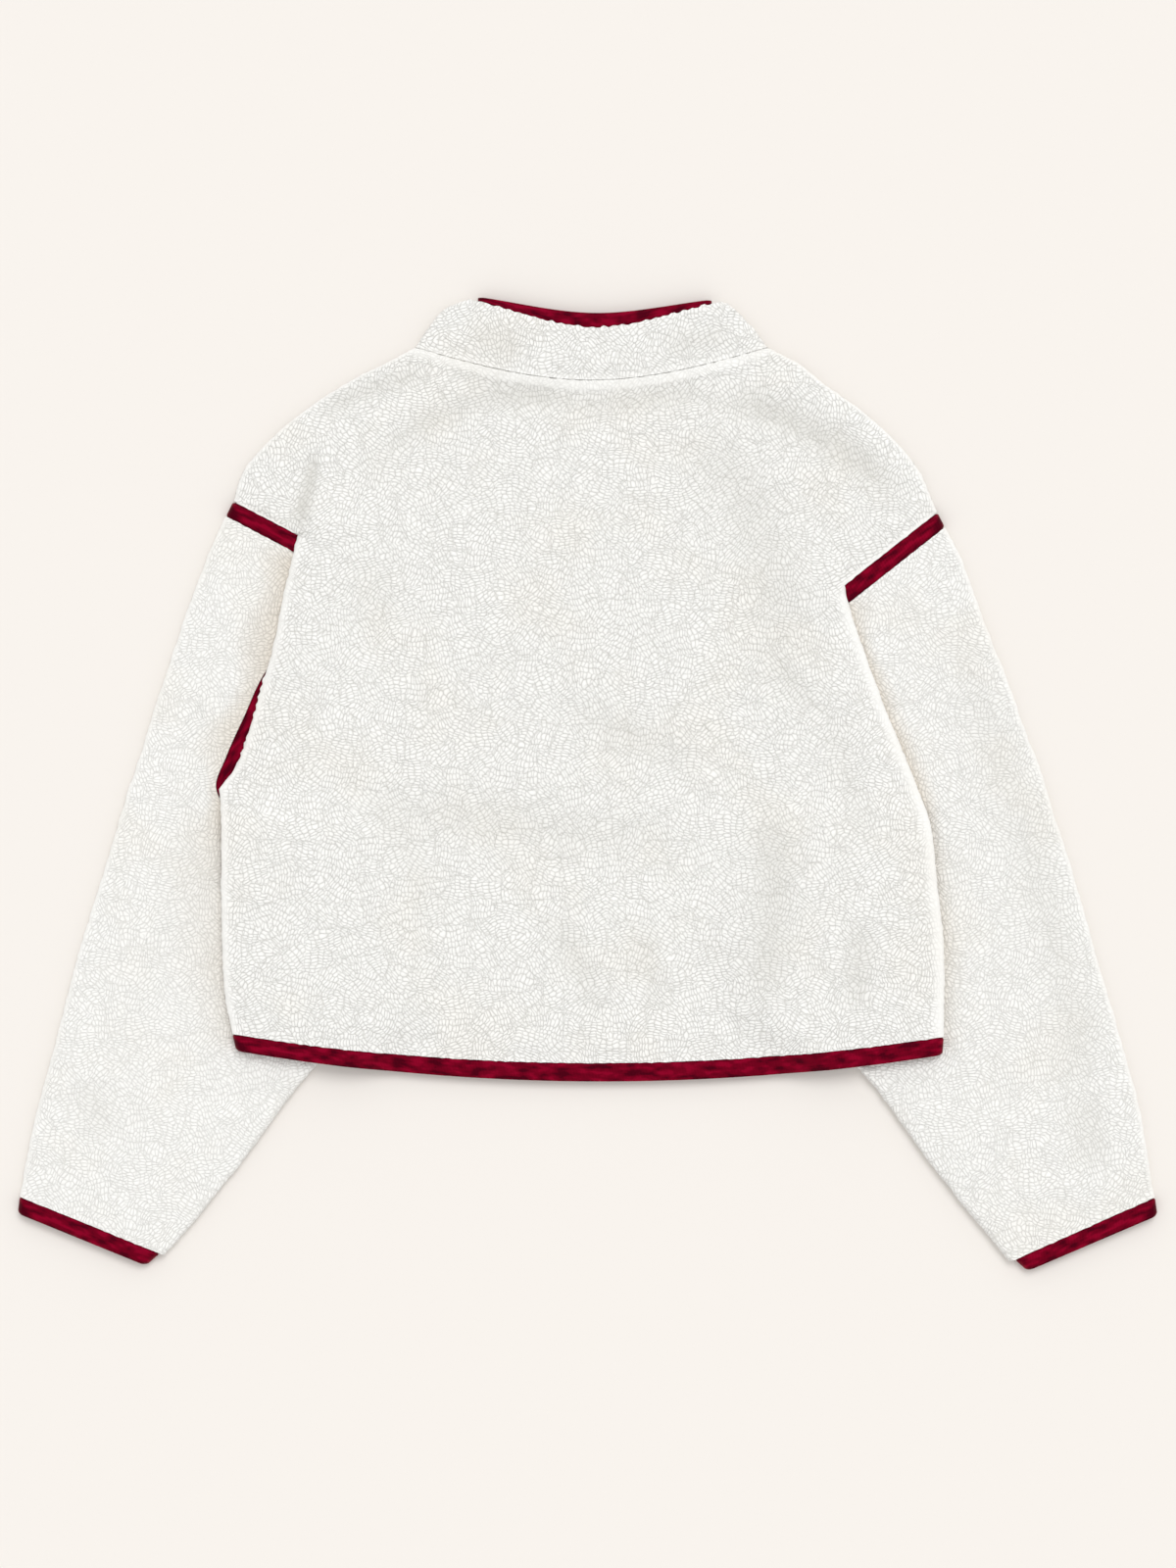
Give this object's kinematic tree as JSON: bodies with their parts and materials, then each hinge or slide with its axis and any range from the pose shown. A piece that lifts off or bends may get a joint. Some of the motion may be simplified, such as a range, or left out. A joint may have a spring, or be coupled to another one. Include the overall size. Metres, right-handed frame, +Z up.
{
  "type": "sherpa fleece pullover",
  "caption": "Cropped drop-shoulder pullover in off-white sherpa fleece, with a stand collar and dark red bound edges, laid flat with its back up.",
  "frame": {"origin": "middle of the laid-out garment, on the surface that it lies on", "axes": "+X across the garment from the wearer's left to right as its back is seen, +Y up towards the collar, +Z up from the surface"},
  "size_m": [0.8385, 0.716, 0.0199],
  "materials": {
    "fleece": "matt curly pile in small clumps",
    "binding": "flat close knit with a soft sheen"
  },
  "bodies": {
    "root": {"back_panel": "fleece", "front_panel": "fleece", "sleeve_left": "fleece", "sleeve_right": "fleece", "collar": "fleece", "collar_binding": "binding", "hem_binding": "binding", "cuff_binding_left": "binding", "cuff_binding_right": "binding", "armhole_binding_left": "binding", "armhole_binding_right": "binding"}
  },
  "joints": []
}
